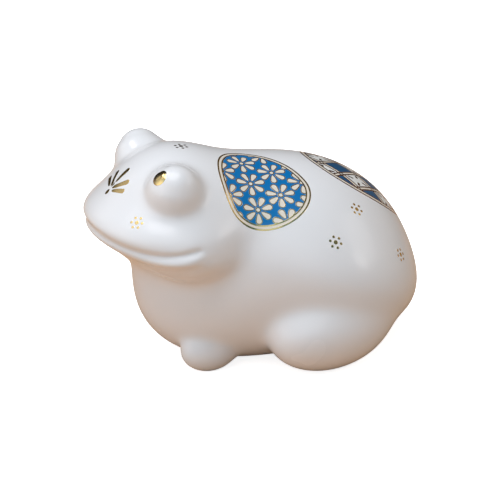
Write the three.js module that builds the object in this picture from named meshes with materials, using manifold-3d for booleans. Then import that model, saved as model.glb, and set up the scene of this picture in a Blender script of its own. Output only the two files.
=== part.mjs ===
// Porcelain frog figurine: one slip-cast piece, sitting low, facing -Y, standing on z = 0.
// Millimetres and degrees, +Z up, left and right sides alike about x = 0.
import * as THREE from "three";
import { mergeVertices } from "three/addons/utils/BufferGeometryUtils.js";
import Module from "manifold-3d";

// Body masses. Each is an egg: its middle, its half sizes, and its turns where it has any.
// Pitch lifts the front end, yaw swings the front end outwards.
const belly = { at: [0, 7, 26.5], half: [28.5, 35.5, 28], pitch: -1 };
const rump = { at: [0, 19, 24.5], half: [32.6, 29, 16.2], pitch: -23.5 };
const chest = { at: [0, -12, 18.3], half: [20, 20, 16.5], pitch: 9 };
const neck = { at: [0, -12.5, 36.5], half: [15.5, 20.5, 14.5], pitch: -1 };
const skull = { at: [0, -23, 43.2], half: [21.7, 16, 16.9], pitch: 6 };
const cheeks = { at: [0, -27.5, 40.4], half: [25.8, 19.1, 6.8], pitch: -5.5 };
const jaw = { at: [0, -26.7, 37.7], half: [27.4, 13.8, 5] };

// Paired masses, given for the side at +x.
const jowl = { at: [16.1, -22, 37], half: [11.8, 12.7, 8.8], pitch: -3 };
const eyeball = { at: [17.3, -27, 54.7], half: [6.2, 6.2, 6.2] };
const eyeMound = { at: [15.8, -27, 53.2], half: [8.1, 7.5, 7.3] };
const forefoot = { at: [14.8, -17.3, 5.8], half: [5.8, 8.2, 6.2], yaw: 6 };
const haunch = { at: [22.7, 15.6, 12.2], half: [12.7, 19.7, 12.5], pitch: 4, yaw: 16 };

// How far each joint between two masses is softened.
const soften = {
  rump: 21, chest: 19.5, neck: 20, cheeks: 19, jaw: 6, jowl: 6,
  throat: 5.5, nape: 20, eyeMound: 4, eyeball: 0.3, forefoot: 4, haunch: 5.5,
};
const napeRise = [30, 58];

// Mouth: a shallow groove, lowest at y = -dip, with a rolled lower lip set back a little.
const mouth = { low: 39.1, dip: 33.9, curl: 0.0125, depth: 0.6, width: 0.9, end: [-25.7, -21.7] };
const lip = { rise: 0.8, below: 2.3, width: 1.7, setBack: 0.45 };

// Surface mesh: rows are crowded towards the height of the mouth, columns towards the face.
const mesh = { columns: 72, rows: 66, rowCrowding: 0.22, columnCrowding: 0.3 };
const search = { reach: 62, step: 2, halvings: 18 };
const heart = { height: 24, spread: [12, 22, 4], toHead: [4, -9, 17] };
const crownTolerance = 1e-6;
const weld = 1e-3;

// The masses sit a little behind the middle of the finished length; this brings the origin under it.
const centring = -0.37;

const glaze = { color: 0xf1f0ee, roughness: 0.18, metalness: 0 };

const radians = Math.PI / 180;

function smoothstep(from, to, value) {
  const t = Math.min(Math.max((value - from) / (to - from), 0), 1);
  return t * t * (3 - 2 * t);
}

// Rounded union of two distances: the smaller one, less a cubic fillet where they are close.
function blend(a, b, softness) {
  const h = Math.max(softness - Math.abs(a - b), 0) / softness;
  return Math.min(a, b) - (h * h * h * softness) / 6;
}

// Near distance from a point to an egg, measured in the egg's own turned axes.
function eggDistance(egg, x, y, z) {
  const yaw = (egg.yaw ?? 0) * radians;
  const pitch = (egg.pitch ?? 0) * radians;
  const dx = x - egg.at[0];
  const dy = y - egg.at[1];
  const dz = z - egg.at[2];
  const across = dx * Math.cos(yaw) + dy * Math.sin(yaw);
  const ahead = -dx * Math.sin(yaw) + dy * Math.cos(yaw);
  const along = ahead * Math.cos(pitch) + dz * Math.sin(pitch);
  const above = -ahead * Math.sin(pitch) + dz * Math.cos(pitch);
  const scaled = [across, along, above].map((value, i) => value / egg.half[i]);
  const size = Math.hypot(...scaled);
  const slope = Math.hypot(...scaled.map((value, i) => value / egg.half[i]));
  return slope > 0 ? (size * (size - 1)) / slope : -Math.min(...egg.half);
}

// Height of the mouth line: it climbs from its dip towards the snout and the corners.
function mouthHeight(y) {
  return mouth.low + mouth.curl * (y + mouth.dip) ** 2;
}

// What the mouth adds to the distance: a groove inwards, the lip's roll outwards, the set-back jaw.
function mouthRelief(y, z) {
  const above = z - mouthHeight(y);
  const groove = mouth.depth * Math.exp(-((above / mouth.width) ** 2));
  const roll = lip.rise * Math.exp(-(((above + lip.below) / lip.width) ** 2));
  const jawBack = lip.setBack * smoothstep(0.6, -1.2, above) * smoothstep(-9, -4.5, above);
  const corner = 1 - smoothstep(mouth.end[0], mouth.end[1], y);
  return (groove - roll + jawBack) * corner * smoothstep(25, 32, z);
}

// Distance to the whole frog, negative inside.
function frogDistance(x, y, z) {
  const side = Math.abs(x);
  let body = blend(eggDistance(belly, x, y, z), eggDistance(rump, x, y, z), soften.rump);
  body = blend(body, eggDistance(chest, x, y, z), soften.chest);
  body = blend(body, eggDistance(neck, x, y, z), soften.neck);
  let head = blend(eggDistance(skull, x, y, z), eggDistance(cheeks, x, y, z), soften.cheeks);
  head = blend(head, eggDistance(jaw, x, y, z), soften.jaw);
  head = blend(head, eggDistance(jowl, side, y, z), soften.jowl);
  const nape = smoothstep(napeRise[0], napeRise[1], z);
  let frog = blend(body, head, soften.throat + (soften.nape - soften.throat) * nape);
  frog += mouthRelief(y, z);
  frog = blend(frog, eggDistance(eyeMound, side, y, z), soften.eyeMound);
  frog = blend(frog, eggDistance(eyeball, side, y, z), soften.eyeball);
  frog = blend(frog, eggDistance(forefoot, side, y, z), soften.forefoot);
  return blend(frog, eggDistance(haunch, side, y, z), soften.haunch);
}

// Where the search for the surface starts: near the heart, and further up for the head's directions.
function startOf(direction) {
  const toHead = smoothstep(-0.25, 0.6, -direction.y) * smoothstep(-0.75, 0.15, direction.z);
  return new THREE.Vector3(
    (heart.spread[0] + heart.toHead[0] * toHead) * direction.x,
    heart.spread[1] * direction.y + heart.toHead[1] * toHead,
    heart.height + heart.spread[2] * direction.z + heart.toHead[2] * toHead,
  );
}

// Walks outwards from the start until the distance turns positive, then halves the last step.
function surfacePoint(direction) {
  const start = startOf(direction);
  const depthAt = (t) => frogDistance(
    start.x + direction.x * t,
    start.y + direction.y * t,
    start.z + direction.z * t,
  );
  let outer = search.step;
  while (outer < search.reach && depthAt(outer) < 0) {
    outer += search.step;
  }
  let inner = outer - search.step;
  for (let i = 0; i < search.halvings; i += 1) {
    const middle = (inner + outer) / 2;
    if (depthAt(middle) < 0) {
      inner = middle;
    } else {
      outer = middle;
    }
  }
  return start.addScaledVector(direction, inner);
}

// The direction of a sphere point after the crowding of rows and columns.
function crowdedDirection(point) {
  const elevation = Math.asin(Math.min(Math.max(point.z, -1), 1));
  const raised = elevation - mesh.rowCrowding * Math.sin(2 * elevation);
  const fromFront = Math.atan2(point.x, -point.y);
  const turn = fromFront - mesh.columnCrowding * Math.sin(fromFront);
  const level = Math.cos(elevation) > crownTolerance ? Math.cos(raised) : 0;
  return new THREE.Vector3(level * Math.sin(turn), -level * Math.cos(turn), Math.sin(raised)).normalize();
}

// How far the middle of the edge between two points lies from the skin.
function edgeMiss(skin, a, b) {
  const from = new THREE.Vector3().fromBufferAttribute(skin, a);
  const middle = from.lerp(new THREE.Vector3().fromBufferAttribute(skin, b), 0.5);
  return Math.abs(frogDistance(middle.x, middle.y, middle.z));
}

// Splits each cell of the grid along the diagonal that lies closer to the skin.
function skinTriangles(skin) {
  const triangles = [];
  const across = mesh.columns + 1;
  for (let row = 0; row < mesh.rows; row += 1) {
    for (let column = 0; column < mesh.columns; column += 1) {
      const a = row * across + column + 1;
      const b = row * across + column;
      const c = b + across;
      const d = a + across;
      if (row === 0) {
        triangles.push(b, c, d);
      } else if (row === mesh.rows - 1) {
        triangles.push(a, b, d);
      } else if (edgeMiss(skin, b, d) < edgeMiss(skin, a, c)) {
        triangles.push(a, b, d, b, c, d);
      } else {
        triangles.push(a, b, c, a, c, d);
      }
    }
  }
  return triangles;
}

// A sphere whose points are pushed out to the frog's skin.
function frogSkin() {
  const sphere = new THREE.SphereGeometry(1, mesh.columns, mesh.rows).rotateX(Math.PI / 2);
  const skin = sphere.getAttribute("position");
  for (let i = 0; i < skin.count; i += 1) {
    const onSphere = new THREE.Vector3().fromBufferAttribute(skin, i);
    const point = surfacePoint(crowdedDirection(onSphere));
    skin.setXYZ(i, point.x, point.y, point.z);
  }
  sphere.setIndex(skinTriangles(skin));
  sphere.deleteAttribute("normal");
  sphere.deleteAttribute("uv");
  return mergeVertices(sphere, weld).translate(0, centring, 0);
}

const wasm = await Module();
wasm.setup();

function solidOf(geometry) {
  return new wasm.Manifold(new wasm.Mesh({
    numProp: 3,
    vertProperties: new Float32Array(geometry.getAttribute("position").array),
    triVerts: new Uint32Array(geometry.getIndex().array),
  }));
}

function geometryOf(solid) {
  const result = solid.getMesh();
  const geometry = new THREE.BufferGeometry();
  geometry.setAttribute("position", new THREE.BufferAttribute(result.vertProperties, 3));
  geometry.setIndex(new THREE.BufferAttribute(result.triVerts, 1));
  geometry.computeVertexNormals();
  return geometry;
}

// The table side: everything below z = 0 is cut off, which leaves the feet and the belly flat.
function belowTable() {
  const block = new THREE.BoxGeometry(160, 160, 20).translate(0, 0, -10);
  block.deleteAttribute("normal");
  block.deleteAttribute("uv");
  return mergeVertices(block);
}

function makeFrog() {
  const standing = solidOf(frogSkin()).subtract(solidOf(belowTable()));
  const frog = new THREE.Mesh(geometryOf(standing), new THREE.MeshStandardMaterial(glaze));
  frog.name = "porcelain_frog";
  return frog;
}

const figurine = new THREE.Group();
figurine.add(makeFrog());

export default figurine;
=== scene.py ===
# A small porcelain frog with painted patches on its back. Metres in the scene, millimetres in the
# dictionaries; the frog faces -Y, its left side is +X, and it stands on z = 0.
import math
import bmesh
import bpy
import numpy as np
from mathutils import Matrix, Vector


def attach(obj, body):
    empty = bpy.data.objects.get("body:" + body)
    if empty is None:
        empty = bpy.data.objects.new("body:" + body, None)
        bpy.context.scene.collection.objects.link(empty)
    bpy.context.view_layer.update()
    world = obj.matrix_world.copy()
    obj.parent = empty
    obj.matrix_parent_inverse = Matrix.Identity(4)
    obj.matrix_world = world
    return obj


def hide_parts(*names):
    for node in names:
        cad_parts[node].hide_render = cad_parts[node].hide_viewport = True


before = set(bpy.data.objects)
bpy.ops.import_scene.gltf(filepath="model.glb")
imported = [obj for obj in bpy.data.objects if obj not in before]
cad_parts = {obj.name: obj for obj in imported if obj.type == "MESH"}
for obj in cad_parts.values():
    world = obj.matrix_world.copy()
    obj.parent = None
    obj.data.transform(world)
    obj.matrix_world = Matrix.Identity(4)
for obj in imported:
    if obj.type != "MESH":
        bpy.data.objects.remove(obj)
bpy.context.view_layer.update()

millimetre = 0.001
cadNode = "porcelain_frog"
tiny = 1e-9  # keeps divisions away from zero
farAway = 100.0  # millimetres, further than any painted line

# The body: eggs given by their middle, half sizes and turns, and how softly each one joins the rest;
# then the mouth, the grid of the skin, and where the search for the skin starts.
frogBody = {
    "belly": {"at": (0, 7, 26.5), "half": (28.5, 35.5, 28), "pitch": -1},
    "rump": {"at": (0, 19, 24.5), "half": (32.6, 29, 16.2), "pitch": -23.5},
    "chest": {"at": (0, -12, 18.3), "half": (20, 20, 16.5), "pitch": 9},
    "neck": {"at": (0, -12.5, 36.5), "half": (15.5, 20.5, 14.5), "pitch": -1},
    "skull": {"at": (0, -23, 43.2), "half": (21.7, 16, 16.9), "pitch": 6},
    "cheeks": {"at": (0, -27.5, 40.4), "half": (25.8, 19.1, 6.8), "pitch": -5.5},
    "jaw": {"at": (0, -26.7, 37.7), "half": (27.4, 13.8, 5)},
    "jowl": {"at": (16.1, -22, 37), "half": (11.8, 12.7, 8.8), "pitch": -3},
    "eyeball": {"at": (17.3, -27, 54.7), "half": (6.2, 6.2, 6.2)},
    "eyeMound": {"at": (15.8, -27, 53.2), "half": (8.1, 7.5, 7.3)},
    "forefoot": {"at": (14.8, -17.3, 5.8), "half": (5.8, 8.2, 6.2), "yaw": 6},
    "haunch": {"at": (22.7, 15.6, 12.2), "half": (12.7, 19.7, 12.5), "pitch": 4, "yaw": 16},
    "soften": {
        "rump": 21, "chest": 19.5, "neck": 20, "cheeks": 19, "jaw": 6, "jowl": 6,
        "throat": 5.5, "nape": 20, "eyeMound": 4, "eyeball": 0.3, "forefoot": 4, "haunch": 5.5,
    },
    "napeRise": (30, 58),
    "mouthLow": 39.1, "mouthDip": 33.9, "mouthCurl": 0.0125, "mouthEnd": (-25.7, -21.7),
    "mouthRise": (25, 32), "grooveDepth": 0.6, "grooveWidth": 0.9,
    "lipRise": 0.8, "lipBelow": 2.3, "lipWidth": 1.7,
    "jawSetBack": 0.45, "jawStart": (0.6, -1.2), "jawEnd": (-9, -4.5),
    "columns": 320, "rows": 290, "rowCrowding": 0.22, "columnCrowding": 0.3,
    "searchStep": 2, "searchReach": 62, "halvings": 24,
    "heartHeight": 24, "heartSpread": (12, 22, 4), "heartToHead": (4, -9, 17),
    "headAhead": (-0.25, 0.6), "headAbove": (-0.75, 0.15),
    "centring": -0.37, "tableCut": 1e-7,
}


# s = t * t * (3 - 2 t), where t runs from 0 to 1 between the two ends.
def smoothStep(start, end, value):
    t = np.clip((value - start) / (end - start), 0, 1)
    return t * t * (3 - 2 * t)


# min(a, b) - h^3 k / 6 with h = max(k - |a - b|, 0) / k, a rounded union of two distances.
def blend(a, b, softness):
    h = np.maximum(softness - np.abs(a - b), 0) / softness
    return np.minimum(a, b) - h**3 * softness / 6


# |q| (|q| - 1) / |q / half|, where q is the point in the egg's turned axes over its half sizes.
def eggDistance(name, x, y, z):
    egg = frogBody[name]
    yaw = math.radians(egg.get("yaw", 0))
    pitch = math.radians(egg.get("pitch", 0))
    dx, dy, dz = x - egg["at"][0], y - egg["at"][1], z - egg["at"][2]
    across = dx * math.cos(yaw) + dy * math.sin(yaw)
    ahead = -dx * math.sin(yaw) + dy * math.cos(yaw)
    along = ahead * math.cos(pitch) + dz * math.sin(pitch)
    above = -ahead * math.sin(pitch) + dz * math.cos(pitch)
    halfX, halfY, halfZ = egg["half"]
    size = np.sqrt((across / halfX) ** 2 + (along / halfY) ** 2 + (above / halfZ) ** 2)
    slope = np.sqrt((across / halfX**2) ** 2 + (along / halfY**2) ** 2 + (above / halfZ**2) ** 2)
    return size * (size - 1) / np.maximum(slope, tiny)


# Mouth line height low + curl (y + dip)^2; a groove on it, the lip's roll under it, the jaw set back.
def mouthRelief(y, z):
    body = frogBody
    above = z - body["mouthLow"] - body["mouthCurl"] * (y + body["mouthDip"]) ** 2
    groove = body["grooveDepth"] * np.exp(-((above / body["grooveWidth"]) ** 2))
    roll = body["lipRise"] * np.exp(-(((above + body["lipBelow"]) / body["lipWidth"]) ** 2))
    onJaw = smoothStep(*body["jawStart"], above) * smoothStep(*body["jawEnd"], above)
    jawBack = body["jawSetBack"] * onJaw
    corner = 1 - smoothStep(*body["mouthEnd"], y)
    return (groove - roll + jawBack) * corner * smoothStep(*body["mouthRise"], z)


# Distance to the whole frog in millimetres, negative inside: every egg blended in, plus the mouth.
def frogDistance(x, y, z):
    soften = frogBody["soften"]
    side = np.abs(x)
    torso = eggDistance("belly", x, y, z)
    for name in ("rump", "chest", "neck"):
        torso = blend(torso, eggDistance(name, x, y, z), soften[name])
    head = eggDistance("skull", x, y, z)
    for name in ("cheeks", "jaw", "jowl"):
        head = blend(head, eggDistance(name, side if name == "jowl" else x, y, z), soften[name])
    nape = smoothStep(*frogBody["napeRise"], z)
    frog = blend(torso, head, soften["throat"] + (soften["nape"] - soften["throat"]) * nape)
    frog = frog + mouthRelief(y, z)
    for name in ("eyeMound", "eyeball", "forefoot", "haunch"):
        frog = blend(frog, eggDistance(name, side, y, z), soften[name])
    return frog


# Directions d = (cos e sin t, -cos e cos t, sin e) with rows e - a sin 2e and columns t - b sin t.
def skinDirections():
    rows, columns = frogBody["rows"], frogBody["columns"]
    elevation = np.linspace(-math.pi / 2, math.pi / 2, rows + 1)
    elevation = elevation - frogBody["rowCrowding"] * np.sin(2 * elevation)
    turn = np.linspace(-math.pi, math.pi, columns, endpoint=False)
    turn = turn - frogBody["columnCrowding"] * np.sin(turn)
    e, t = np.meshgrid(elevation[1:-1], turn, indexing="ij")
    around = np.stack([np.cos(e) * np.sin(t), -np.cos(e) * np.cos(t), np.sin(e)], axis=-1)
    poles = np.array([[0.0, 0.0, -1.0], [0.0, 0.0, 1.0]])
    return np.vstack([poles[:1], around.reshape(-1, 3), poles[1:]])


# Every ray starts near the heart, moved up into the head for the head's directions, walks outwards
# until the distance turns positive, and halves its last step.
def skinPoints():
    body = frogBody
    d = skinDirections()
    toHead = smoothStep(*body["headAhead"], -d[:, 1]) * smoothStep(*body["headAbove"], d[:, 2])
    start = d * body["heartSpread"]
    start[:, 0] += body["heartToHead"][0] * toHead * d[:, 0]
    start[:, 1] += body["heartToHead"][1] * toHead
    start[:, 2] += body["heartToHead"][2] * toHead + body["heartHeight"]

    def depthAt(distance):
        return frogDistance(*(start + d * distance[:, None]).T)

    outer = np.full(len(d), float(body["searchStep"]))
    walking = np.ones(len(d), bool)
    for _ in range(body["searchReach"] // body["searchStep"]):
        walking &= depthAt(outer) < 0
        outer = outer + body["searchStep"] * walking
    inner = outer - body["searchStep"]
    for _ in range(body["halvings"]):
        middle = (inner + outer) / 2
        inside = depthAt(middle) < 0
        inner = np.where(inside, middle, inner)
        outer = np.where(inside, outer, middle)
    points = start + d * inner[:, None]
    points[:, 1] += body["centring"]
    return points


# Quads between neighbouring rows and columns, the last column joined to the first, and a fan of
# triangles at each pole.
def skinFaces():
    rows, columns = frogBody["rows"] - 1, frogBody["columns"]
    index = 1 + np.arange(rows * columns).reshape(rows, columns)
    right = np.roll(index, -1, axis=1)
    quads = np.stack([index[:-1], right[:-1], right[1:], index[1:]], axis=-1).reshape(-1, 4)
    bottom = np.stack([np.zeros(columns, int), right[0], index[0]], axis=-1)
    top = np.stack([np.full(columns, rows * columns + 1), index[-1], right[-1]], axis=-1)
    return quads.tolist() + bottom.tolist() + top.tolist()


# The skin cut off at the table: everything under z = 0 goes, and each opening gets a flat face.
def standOnTable(mesh):
    shell = bmesh.new()
    shell.from_mesh(mesh)
    everything = shell.verts[:] + shell.edges[:] + shell.faces[:]
    bmesh.ops.bisect_plane(
        shell, geom=everything, plane_co=(0, 0, 0), plane_no=(0, 0, 1), clear_inner=True,
        dist=frogBody["tableCut"])
    rim = [edge for edge in shell.edges if edge.is_boundary]
    for edge in rim:
        edge.smooth = False
    bmesh.ops.holes_fill(shell, edges=rim, sides=0)
    bmesh.ops.recalc_face_normals(shell, faces=shell.faces)
    for face in shell.faces:
        face.smooth = True
    shell.to_mesh(mesh)
    shell.free()


def makeFrog():
    mesh = bpy.data.meshes.new("frogSkin")
    mesh.from_pydata((skinPoints() * millimetre).tolist(), [], skinFaces())
    standOnTable(mesh)
    frog = bpy.data.objects.new("glazed_frog", mesh)
    bpy.context.collection.objects.link(frog)
    print("frog skin:", len(mesh.vertices), "vertices,", len(mesh.polygons), "faces")
    return frog


# Where the painting lies on the skin. Each place has a point on the skin, its outward direction and
# the direction that counts as up; the paired ones are given for the left side, and the right side's
# daisies sit lower by farSideShift.
paintedPlaces = {
    "daisy": {"at": (16.54, -2.78, 50.98), "outward": (0.594, 0.043, 0.803), "up": (0, 0, 1)},
    "lattice": {"at": (0, 29.66, 48.4), "outward": (0, 0.531, 0.847), "up": (0, 1, 0)},
    "spray": {"at": (0.2, -38.94, 51.6), "outward": (0, -0.69, 0.72), "up": (-0.04, 0, 1)},
    "daisyEgg": {"middle": (1.3, -1.4), "tilt": 13, "halfWidth": 12.5, "up": 18.6, "down": 10.2},
    "latticeEgg": {"middle": (0, 0.7), "tilt": 0, "halfWidth": 14.4, "up": 19.4, "down": 16.5},
    "farSideShift": 5,
    "flowers": [
        {"at": (28.8, 13.9, 38.4), "turn": 35, "paired": True},
        {"at": (20.2, 23.4, 43.9), "turn": 20, "paired": True},
        {"at": (22.9, 35.6, 30.0), "turn": 50, "paired": True},
        {"at": (18.0, -38.5, 46.4), "turn": 5, "paired": True},
        {"at": (0.9, -20.9, 60.7), "turn": 25, "paired": False},
    ],
    "flowerReach": 4, "slopeStep": 0.05,
    "gazes": [(0.15, -0.77, 0.61), (-0.6, -0.62, 0.5)],
    "pupilRadius": 2.3,
}


def unit(vector):
    vector = np.asarray(vector, float)
    return vector / np.linalg.norm(vector)


# Surface coordinates round a place: the tangent-plane direction of each point, stretched so that its
# length is the straight distance from the place.
def flattened(points, at, outward, up):
    outward = unit(outward)
    rightAxis = unit(np.cross(up, outward))
    upAxis = np.cross(outward, rightAxis)
    offset = points - np.asarray(at, float)
    u, v = offset @ rightAxis, offset @ upAxis
    stretch = np.linalg.norm(offset, axis=1) / np.maximum(np.hypot(u, v), tiny)
    return u * stretch, v * stretch


# Distance to an egg outline, negative inside: (f - 1) / |grad f| with f = sqrt((w/a)^2 + (t/b)^2),
# where a is the egg's upper or lower half length and b its half width.
def rimDistance(u, v, egg):
    tilt = math.radians(egg["tilt"])
    du, dv = u - egg["middle"][0], v - egg["middle"][1]
    t = du * math.cos(tilt) + dv * math.sin(tilt)
    w = -du * math.sin(tilt) + dv * math.cos(tilt)
    a = np.where(w > 0, egg["up"], egg["down"])
    b = egg["halfWidth"]
    f = np.sqrt((w / a) ** 2 + (t / b) ** 2)
    slope = np.sqrt((w / a**2) ** 2 + (t / b**2) ** 2) / np.maximum(f, tiny)
    return (f - 1) / np.maximum(slope, tiny)


# Outward direction of the skin at a point: the slope of the distance by small differences.
def outwardAt(point):
    x, y, z = np.asarray(point, float) - (0, frogBody["centring"], 0)
    steps = np.eye(3) * paintedPlaces["slopeStep"]
    return unit([
        frogDistance(x + s[0], y + s[1], z + s[2]) - frogDistance(x - s[0], y - s[1], z - s[2])
        for s in steps])


def storeVector(mesh, name, first, second, third):
    values = np.stack([first, second, third], axis=-1).astype(np.float32)
    mesh.attributes.new(name, "FLOAT_VECTOR", "POINT").data.foreach_set("vector", values.ravel())


# Surface coordinates of every painted place, kept on the skin for the material to draw in.
def markPaintedPlaces(mesh):
    flat = np.empty(len(mesh.vertices) * 3, np.float32)
    mesh.vertices.foreach_get("co", flat)
    points = flat.reshape(-1, 3).astype(float) / millimetre
    mirrored = points.copy()
    mirrored[:, 0] = np.abs(points[:, 0])
    places = paintedPlaces

    daisy = places["daisy"]
    u, v = flattened(mirrored, daisy["at"], daisy["outward"], daisy["up"])
    v = v + places["farSideShift"] * (points[:, 0] < 0)
    storeVector(mesh, "daisyPlace", u, v, rimDistance(u, v, places["daisyEgg"]))

    lattice = places["lattice"]
    u, v = flattened(points, lattice["at"], lattice["outward"], lattice["up"])
    storeVector(mesh, "latticePlace", u, v, rimDistance(u, v, places["latticeEgg"]))

    spray = places["spray"]
    u, v = flattened(points, spray["at"], spray["outward"], spray["up"])
    storeVector(mesh, "sprayPlace", u, v, np.hypot(u, v))

    nothing = np.zeros(len(points))
    flowerU, flowerV, near = nothing + farAway, nothing, nothing
    for flower in places["flowers"]:
        source = mirrored if flower["paired"] else points
        u, v = flattened(source, flower["at"], outwardAt(flower["at"]), (0, 0, 1))
        close = np.hypot(u, v) < places["flowerReach"]
        turn = math.radians(flower["turn"])
        flowerU = np.where(close, u * math.cos(turn) + v * math.sin(turn), flowerU)
        flowerV = np.where(close, v * math.cos(turn) - u * math.sin(turn), flowerV)
        near = np.where(close, 1.0, near)
    storeVector(mesh, "flowerPlace", flowerU, flowerV, near)

    eye = frogBody["eyeball"]
    away = nothing + farAway
    for side, gaze in zip((1, -1), places["gazes"]):
        middle = np.array(eye["at"]) * (side, 1, 1) + (0, frogBody["centring"], 0)
        pupil = middle + unit(gaze) * eye["half"][0]
        away = np.minimum(away, np.linalg.norm(points - pupil, axis=1))
    storeVector(mesh, "pupilPlace", away / places["pupilRadius"], nothing, nothing)
    print("painted places: daisies, lattice, spray, pupils and", len(places["flowers"]), "dot flowers")


# A number worked out by shader nodes, so that the patterns below can be written as formulas.
class Signal:
    def __init__(self, socket):
        self.socket = socket

    def __add__(self, other):
        return calculate("ADD", self, other)

    def __sub__(self, other):
        return calculate("SUBTRACT", self, other)

    def __rsub__(self, other):
        return calculate("SUBTRACT", other, self)

    def __mul__(self, other):
        return calculate("MULTIPLY", self, other)


def calculate(kind, *values, clamp=False):
    tree = next(value.socket.id_data for value in values if isinstance(value, Signal))
    node = tree.nodes.new("ShaderNodeMath")
    node.operation = kind
    node.use_clamp = clamp
    for place, value in zip(node.inputs, values):
        if isinstance(value, Signal):
            tree.links.new(value.socket, place)
        else:
            place.default_value = value
    return Signal(node.outputs[0])


def larger(a, b):
    return calculate("MAXIMUM", a, b)


def smaller(a, b):
    return calculate("MINIMUM", a, b)


def unsigned(a):
    return calculate("ABSOLUTE", a)


# sqrt(a^2 + b^2)
def hypotenuse(a, b):
    return calculate("SQRT", calculate("MULTIPLY_ADD", a, a, b * b))


# Value moved by whole periods to the one nearest to zero.
def wrapped(value, period):
    return calculate("WRAP", value, period / 2, -period / 2)


# 1 where a distance is negative and 0 where it is positive, with an edge of the brush's softness.
def inside(distance):
    return calculate("MULTIPLY_ADD", distance, -1 / painting["edge"], 0.5, clamp=True)


# The strip of the given width that starts at a distance from the rim and runs inwards.
def stripInside(rim, start, width):
    return inside(rim + start) - inside(rim + (start + width))


# Distance to a teardrop from base to tip: |p - nearest point of its middle line| less a radius that
# grows from the base's to the tip's with a power of the way, petalSwell.
def teardrop(along, across, base, tip, baseRadius, tipRadius):
    way = calculate("MULTIPLY_ADD", along, 1 / (tip - base), -base / (tip - base), clamp=True)
    past = along - (way * (tip - base) + base)
    grown = calculate("POWER", way, painting["petalSwell"]) * (tipRadius - baseRadius) + baseRadius
    return hypotenuse(past, across) - grown


# All painted lines and shapes, in millimetres.
painting = {
    "edge": 0.07, "petalSwell": 0.38,
    "outerLine": 0.46, "creamBand": 0.64, "innerLine": 0.42,
    "daisyAt": (-2.65, 2.6), "daisyRow": (7.55, 3.25), "daisyRise": (0.4, 8.15), "daisyWiden": 1.06,
    "petals": 7, "petalTurn": 4, "petalBase": 1.15, "petalTip": 3.08,
    "petalBaseRadius": 0.14, "petalTipRadius": 0.95, "petalRim": 0.27,
    "daisyHeart": 0.78, "daisyHeartRim": 0.3,
    "bands": [
        {"across": -40, "at": 3.6, "spacing": 7.1},
        {"across": 34, "at": 3.4, "spacing": 6.3},
    ],
    "bandHalfWidth": 0.8, "bandLine": 0.48,
    "strokeAt": 2.1, "strokeHalf": 0.5, "strokeRadius": 0.36,
    "flowerHeart": 0.62, "flowerDots": 6, "flowerRing": 1.6, "flowerDot": 0.4, "flowerSure": 0.99,
    "sprayPetals": [
        {"base": (-1.9, -1.8), "tip": (-5.8, 0.1), "radius": 0.7},
        {"base": (-0.9, -1.4), "tip": (-3.8, 2.5), "radius": 0.74},
        {"base": (-0.2, -1.5), "tip": (0.8, 4.7), "radius": 0.84},
        {"base": (0.9, -1.6), "tip": (5.1, 2.1), "radius": 0.86},
        {"base": (1.8, -2.3), "tip": (6.2, -0.5), "radius": 0.72},
    ],
    "sprayBaseRadius": 0.24, "sprayReach": 9.0,
    "sprayDot": (-0.15, -3.4), "sprayDotHalf": (0.78, 0.85),
    "pupilDome": 0.35,
}


def attributeSignals(tree, name):
    place = tree.nodes.new("ShaderNodeAttribute")
    place.attribute_name = name
    split = tree.nodes.new("ShaderNodeSeparateXYZ")
    tree.links.new(place.outputs["Vector"], split.inputs[0])
    return [Signal(output) for output in split.outputs]


# Daisies stand at whole steps i and j along two directions. With x = i + j / 2 and y = j sqrt(3) / 2
# they make equilateral triangles, whose nearest corner is the nearer one of two rectangular
# lattices' nearest; its offset is then turned back into millimetres.
def nearestDaisy(u, v):
    rowU, rowV = painting["daisyRow"]
    riseU, riseV = painting["daisyRise"]
    area = rowU * riseV - rowV * riseU
    du, dv = u - painting["daisyAt"][0], v - painting["daisyAt"][1]
    i = du * (riseV / area) - dv * (riseU / area)
    j = dv * (rowU / area) - du * (rowV / area)
    tall = math.sqrt(3)
    x, y = i + j * 0.5, j * (tall / 2)
    x1, y1 = wrapped(x, 1), wrapped(y, tall)
    x2, y2 = wrapped(x - 0.5, 1), wrapped(y - tall / 2, tall)
    second = calculate("LESS_THAN", hypotenuse(x2, y2), hypotenuse(x1, y1))
    j = (y1 + (y2 - y1) * second) * (2 / tall)
    i = x1 + (x2 - x1) * second - j * 0.5
    return i * rowU + j * riseU, i * rowV + j * riseV


# Polar repeats: the point turned into the nearest of the count equal sectors.
def inNearestSector(x, y, count, turn):
    angle = calculate("ARCTAN2", y, x) - math.radians(turn)
    angle = wrapped(angle, 2 * math.pi / count)
    radius = hypotenuse(x, y)
    return radius * calculate("COSINE", angle), radius * calculate("SINE", angle)


# A patch's border, from its rim inwards a line, a cream band and a second line: the masks of the
# field that it leaves, of the band, and of the two lines.
def patchBorder(rim):
    outer, band, inner = painting["outerLine"], painting["creamBand"], painting["innerLine"]
    lines = stripInside(rim, 0, outer) + stripInside(rim, outer + band, inner)
    return inside(rim + (outer + band + inner)), stripInside(rim, outer, band), lines


# Blue field with cream daisies rimmed in gold. Their offsets are divided by daisyWiden along u, which
# makes them that much wider than high.
def daisyPatch(tree):
    p = painting
    u, v, rim = attributeSignals(tree, "daisyPlace")
    field, creamBand, borderLines = patchBorder(rim)
    x, y = nearestDaisy(u, v)
    x = x * (1 / p["daisyWiden"])
    along, across = inNearestSector(x, y, p["petals"], p["petalTurn"])
    petal = teardrop(
        along, across, p["petalBase"], p["petalTip"], p["petalBaseRadius"], p["petalTipRadius"])
    heart = hypotenuse(x, y) - p["daisyHeart"]
    shape = inside(smaller(petal, heart))
    filling = inside(smaller(petal + p["petalRim"], heart + p["daisyHeartRim"]))
    return {
        "blue": field * (1 - shape),
        "cream": field * filling + creamBand,
        "gold": field * (shape - filling) + borderLines,
    }


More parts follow.
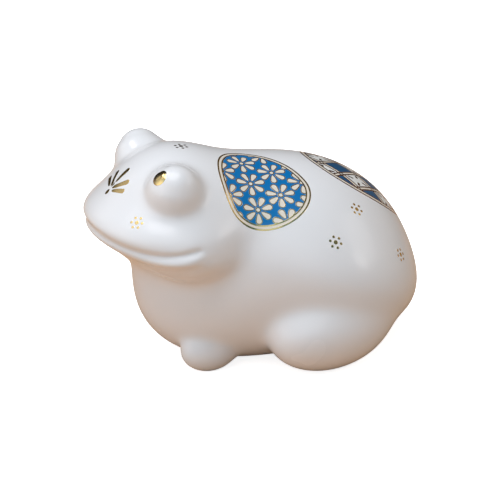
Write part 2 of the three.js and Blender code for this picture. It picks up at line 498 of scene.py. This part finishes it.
# Two sets of cream bands edged with bronze lines that run on over the crossings. A point's place
# across a set is u cos a + v sin a for the set's angle a, and a band lies on each whole spacing.
# White and navy lozenges fill the gaps by turns, and every white one has four strokes that point at
# its middle: there the two distances from the middle are nearly equal.
def latticePatch(tree):
    p = painting
    u, v, rim = attributeSignals(tree, "latticePlace")
    field, creamBand, borderLines = patchBorder(rim)
    onBand, lines, cells, fromMiddle = 0, 0, 0, []
    for band in p["bands"]:
        angle, spacing = math.radians(band["across"]), band["spacing"]
        place = u * math.cos(angle) + v * math.sin(angle) - band["at"]
        across = unsigned(wrapped(place, spacing)) - p["bandHalfWidth"]
        onBand = larger(onBand, inside(across))
        lines = larger(lines, inside(across) - inside(across + p["bandLine"]))
        cells = calculate("FLOOR", place * (1 / spacing)) + cells
        fromMiddle.append(unsigned(wrapped(place - spacing / 2, spacing)))
    gap = 1 - onBand
    odd = calculate("FLOORED_MODULO", cells, 2.0)
    outwards = (fromMiddle[0] + fromMiddle[1]) * math.sqrt(0.5) - p["strokeAt"]
    sideways = (fromMiddle[0] - fromMiddle[1]) * math.sqrt(0.5)
    past = larger(unsigned(outwards) - p["strokeHalf"], 0.0)
    stroke = hypotenuse(past, sideways) - p["strokeRadius"]
    mark = inside(stroke) * (1 - odd) * gap
    return {
        "navy": field * gap * odd,
        "cream": field * (onBand - lines) + creamBand,
        "bronze": field * (lines + mark) + borderLines,
        "white": field * gap * (1 - odd) * (1 - mark),
    }


# A dot with six smaller ones in a ring round it, only where the skin is sure to be near a flower.
def dotFlowers(tree):
    p = painting
    u, v, near = attributeSignals(tree, "flowerPlace")
    along, across = inNearestSector(u, v, p["flowerDots"], 0)
    ring = hypotenuse(along - p["flowerRing"], across) - p["flowerDot"]
    heart = hypotenuse(u, v) - p["flowerHeart"]
    sure = calculate("GREATER_THAN", near, p["flowerSure"])
    return {"gold": inside(smaller(ring, heart)) * sure}


# Five petals that fan out above a dot, an ellipse with distance (|q| - 1) times its half width, where
# q is the point over the half sizes.
def foreheadSpray(tree):
    p = painting
    u, v, away = attributeSignals(tree, "sprayPlace")
    dotU, dotV = p["sprayDot"]
    halfU, halfV = p["sprayDotHalf"]
    shape = hypotenuse((u - dotU) * (1 / halfU), (v - dotV) * (1 / halfV)) * halfU - halfU
    for petal in p["sprayPetals"]:
        base = Vector(petal["base"])
        reach = Vector(petal["tip"]) - base
        axis = reach.normalized()
        du, dv = u - base.x, v - base.y
        along = du * axis.x + dv * axis.y
        across = dv * axis.x - du * axis.y
        drop = teardrop(along, across, 0, reach.length, p["sprayBaseRadius"], petal["radius"])
        shape = smaller(shape, drop)
    return {"gold": inside(shape) * calculate("LESS_THAN", away, p["sprayReach"])}


# A low dome: its height falls with 1 - s^2, where s runs from 0 in the middle to 1 at the edge.
def goldPupils(tree):
    share = attributeSignals(tree, "pupilPlace")[0]
    dome = larger(1 - share * share, 0.0) * painting["pupilDome"]
    return {"gold": inside((share - 1) * paintedPlaces["pupilRadius"]), "relief": dome}


# Porcelain and the six fired colours: base colour, how metallic, how rough, how thick in millimetres.
# The clouds and ripples are very faint and belong to the porcelain, the grain to the metals.
glazes = {
    "porcelain": {"colour": (0.845, 0.83, 0.835), "metal": 0, "rough": 0.26, "thick": 0},
    "blue": {"colour": (0.0, 0.165, 0.44), "metal": 0, "rough": 0.28, "thick": 0.015},
    "navy": {"colour": (0.0, 0.08, 0.20), "metal": 0, "rough": 0.28, "thick": 0.015},
    "cream": {"colour": (0.80, 0.71, 0.60), "metal": 0, "rough": 0.34, "thick": 0.02},
    "white": {"colour": (0.86, 0.84, 0.80), "metal": 0, "rough": 0.3, "thick": 0.01},
    "gold": {"colour": (0.82, 0.59, 0.25), "metal": 1, "rough": 0.2, "thick": 0.03},
    "bronze": {"colour": (0.34, 0.14, 0.06), "metal": 1, "rough": 0.24, "thick": 0.03},
    "cloudSize": 22, "cloudStrength": 0.025, "cloudTint": (0.97, 0.95, 0.92), "cloudRough": 0.08,
    "rippleSize": 9, "rippleHeight": 0.02, "grainSize": 0.5, "grainRough": 0.25,
    "specular": 0.35, "coat": 0.3, "coatRough": 0.08,
}


# Soft noise round 0.5, with spots of about the given size in millimetres.
def noiseSignal(tree, places, spotSize, detail):
    noise = tree.nodes.new("ShaderNodeTexNoise")
    noise.inputs["Scale"].default_value = 1 / (spotSize * millimetre)
    noise.inputs["Detail"].default_value = detail
    tree.links.new(places, noise.inputs["Vector"])
    return Signal(noise.outputs[0])


# The mix node's colours are its inputs 6 and 7, and its output 2.
def mixColour(tree, factor, first, second):
    mix = tree.nodes.new("ShaderNodeMix")
    mix.data_type = "RGBA"
    tree.links.new(factor.socket, mix.inputs["Factor"])
    for place, value in ((mix.inputs[6], first), (mix.inputs[7], second)):
        if isinstance(value, tuple):
            place.default_value = (*value, 1)
        else:
            tree.links.new(value, place)
    return mix.outputs[2]


# The whole finish. The patterns' masks are added up colour by colour; each colour is laid over the
# porcelain where its mask is 1, and carries its own gloss and thickness. The pupils' dome is relief
# and no colour, so it goes to the height alone.
def makeGlaze():
    material = bpy.data.materials.new("paintedPorcelain")
    material.use_nodes = True
    tree = material.node_tree
    shader = tree.nodes["Principled BSDF"]
    shader.inputs["Specular IOR Level"].default_value = glazes["specular"]
    shader.inputs["Coat Weight"].default_value = glazes["coat"]
    shader.inputs["Coat Roughness"].default_value = glazes["coatRough"]
    places = tree.nodes.new("ShaderNodeTexCoord").outputs["Object"]
    clouds = noiseSignal(tree, places, glazes["cloudSize"], 2)
    ripples = noiseSignal(tree, places, glazes["rippleSize"], 1)
    grain = noiseSignal(tree, places, glazes["grainSize"], 2)

    masks = {}
    for pattern in (daisyPatch, latticePatch, dotFlowers, foreheadSpray, goldPupils):
        for name, mask in pattern(tree).items():
            masks[name] = masks[name] + mask if name in masks else mask
    relief = masks.pop("relief")

    base = glazes["porcelain"]
    shade = (clouds - 0.5) * (2 * glazes["cloudStrength"]) + 0.5
    tinted = tuple(part * tint for part, tint in zip(base["colour"], glazes["cloudTint"]))
    colour = mixColour(tree, shade, base["colour"], tinted)
    rough = (clouds - 0.5) * glazes["cloudRough"] + base["rough"]
    metal = 0
    height = (ripples - 0.5) * glazes["rippleHeight"] + relief
    for name, mask in masks.items():
        glaze = glazes[name]
        colour = mixColour(tree, mask, colour, glaze["colour"])
        rough = rough + mask * (glaze["rough"] - rough)
        height = height + mask * glaze["thick"]
        if glaze["metal"]:
            metal = mask + metal
            rough = rough + mask * (grain - 0.5) * glazes["grainRough"]
    tree.links.new(colour, shader.inputs["Base Color"])
    tree.links.new(metal.socket, shader.inputs["Metallic"])
    tree.links.new(rough.socket, shader.inputs["Roughness"])
    bump = tree.nodes.new("ShaderNodeBump")
    bump.inputs["Strength"].default_value = 1
    bump.inputs["Distance"].default_value = millimetre
    tree.links.new(height.socket, bump.inputs["Height"])
    tree.links.new(bump.outputs[0], shader.inputs["Normal"])
    print("glaze:", len(tree.nodes), "nodes, colours", ", ".join(masks))
    return material


# The room: a floor, a light tent all round and some softboxes. Directions are seen from the frog, in
# degrees, and distances are in metres.
studio = {
    "floorSize": 6, "floorDrop": 0.0001, "floorRough": 0.8, "floorGlow": 0.8,
    "floorSeen": (0.98, 0.98, 0.98), "floorBounce": (0.65, 0.40, 0.23),
    "tentBase": (0.02, 0.02, 0.02), "tentFocus": 3.0,
    "tentGlows": [
        {"azimuth": 5, "elevation": 0, "colour": (1.42, 1.49, 1.58)},
        {"azimuth": 71, "elevation": 40, "colour": (0.04, 0.25, 0.41)},
        {"azimuth": 180, "elevation": 0, "colour": (0.38, 0.28, 0.17)},
    ],
    "softboxAim": (0, 0, 0.03), "softboxDistance": 0.8,
    "softboxes": [
        {"azimuth": 30, "elevation": 78, "size": 0.7, "power": 4.2, "colour": (0.98, 0.97, 1)},
        {"azimuth": 75, "elevation": 32, "size": 0.7, "power": 0.8, "colour": (1, 1, 1)},
        {"azimuth": -47, "elevation": 51, "size": 0.2, "power": 0.7, "colour": (1, 1, 1)},
        {"azimuth": -16, "elevation": 51, "size": 0.34, "power": 0.2, "colour": (1, 1, 1)},
        {"azimuth": -50, "elevation": 24, "size": 0.3, "power": 0.1, "colour": (1, 1, 1)},
        {"azimuth": 147, "elevation": 25, "size": 0.2, "power": 0.26, "colour": (1, 1, 1)},
        {"azimuth": 165, "elevation": 32, "size": 0.36, "power": 0.4, "colour": (1, 1, 1)},
    ],
}


# The camera sees the floor nearly white, and the frog gets its warmer light.
def makeFloor():
    bpy.ops.mesh.primitive_plane_add(size=studio["floorSize"], location=(0, 0, -studio["floorDrop"]))
    floor = bpy.context.object
    floor.name = "pale_floor"
    material = bpy.data.materials.new("paleFloor")
    material.use_nodes = True
    tree = material.node_tree
    shader = tree.nodes["Principled BSDF"]
    shader.inputs["Roughness"].default_value = studio["floorRough"]
    seen = Signal(tree.nodes.new("ShaderNodeLightPath").outputs["Is Camera Ray"])
    colour = mixColour(tree, seen, studio["floorBounce"], studio["floorSeen"])
    tree.links.new(colour, shader.inputs["Base Color"])
    shader.inputs["Emission Color"].default_value = (1, 1, 1, 1)
    tree.links.new((seen * studio["floorGlow"]).socket, shader.inputs["Emission Strength"])
    floor.data.materials.append(material)


# Unit vector from the frog towards an azimuth and elevation; azimuth 0 is in front of the frog.
def direction(azimuth, elevation):
    a, e = math.radians(azimuth), math.radians(elevation)
    return Vector((math.sin(a) * math.cos(e), -math.cos(a) * math.cos(e), math.sin(e)))


# Light that comes from a direction d: the base and, for each glow, its colour times
# max(0, d . towards)^tentFocus.
def makeTent():
    world = bpy.data.worlds.new("lightTent")
    world.use_nodes = True
    tree = world.node_tree
    ray = tree.nodes.new("ShaderNodeTexCoord").outputs["Generated"]
    light = None
    for glow in studio["tentGlows"]:
        facing = tree.nodes.new("ShaderNodeVectorMath")
        facing.operation = "DOT_PRODUCT"
        facing.inputs[1].default_value = direction(glow["azimuth"], glow["elevation"])
        tree.links.new(ray, facing.inputs[0])
        share = larger(Signal(facing.outputs["Value"]), 0.0)
        strength = calculate("POWER", share, studio["tentFocus"])
        tinted = tree.nodes.new("ShaderNodeVectorMath")
        tinted.operation = "MULTIPLY_ADD"
        tinted.inputs[0].default_value = glow["colour"]
        tree.links.new(strength.socket, tinted.inputs[1])
        if light:
            tree.links.new(light, tinted.inputs[2])
        else:
            tinted.inputs[2].default_value = studio["tentBase"]
        light = tinted.outputs[0]
    tree.links.new(light, tree.nodes["Background"].inputs["Color"])
    bpy.context.scene.world = world


def makeSoftboxes():
    aim = Vector(studio["softboxAim"])
    for number, lamp in enumerate(studio["softboxes"]):
        light = bpy.data.lights.new(f"softbox{number}", "AREA")
        light.shape = "DISK"
        light.size = lamp["size"]
        light.energy = lamp["power"]
        light.color = lamp["colour"]
        softbox = bpy.data.objects.new(light.name, light)
        towards = direction(lamp["azimuth"], lamp["elevation"])
        softbox.matrix_world = (
            Matrix.Translation(aim + towards * studio["softboxDistance"])
            @ towards.to_track_quat("Z", "Y").to_matrix().to_4x4())
        bpy.context.collection.objects.link(softbox)
    print("lights:", len(studio["tentGlows"]), "glows,", len(studio["softboxes"]), "softboxes")


# The photograph's view: the camera looks at the target from a distance, then is shifted sideways and
# upwards, all in millimetres except for its nearest seen distance in metres.
view = {
    "azimuth": 71.09, "elevation": 20.87, "distance": 560, "target": (0, -0.34, 30),
    "right": -0.32, "up": -2.29, "lens": 143, "sensorWidth": 36, "nearest": 0.01,
}


def makeCamera():
    camera = bpy.data.objects.new("camera", bpy.data.cameras.new("camera"))
    camera.data.lens = view["lens"]
    camera.data.sensor_width = view["sensorWidth"]
    camera.data.clip_start = view["nearest"]
    back = direction(view["azimuth"], view["elevation"])
    turn = back.to_track_quat("Z", "Y")
    shift = turn @ Vector((view["right"], view["up"], 0))
    place = (Vector(view["target"]) + back * view["distance"] + shift) * millimetre
    camera.matrix_world = Matrix.Translation(place) @ turn.to_matrix().to_4x4()
    bpy.context.collection.objects.link(camera)
    bpy.context.scene.camera = camera
    print("camera at", tuple(round(c, 4) for c in place))


bpy.context.scene.view_settings.view_transform = "Standard"
makeCamera()
makeFloor()
makeTent()
makeSoftboxes()
frogPiece = makeFrog()
markPaintedPlaces(frogPiece.data)
frogPiece.data.materials.append(makeGlaze())
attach(frogPiece, "root")
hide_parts(cadNode)
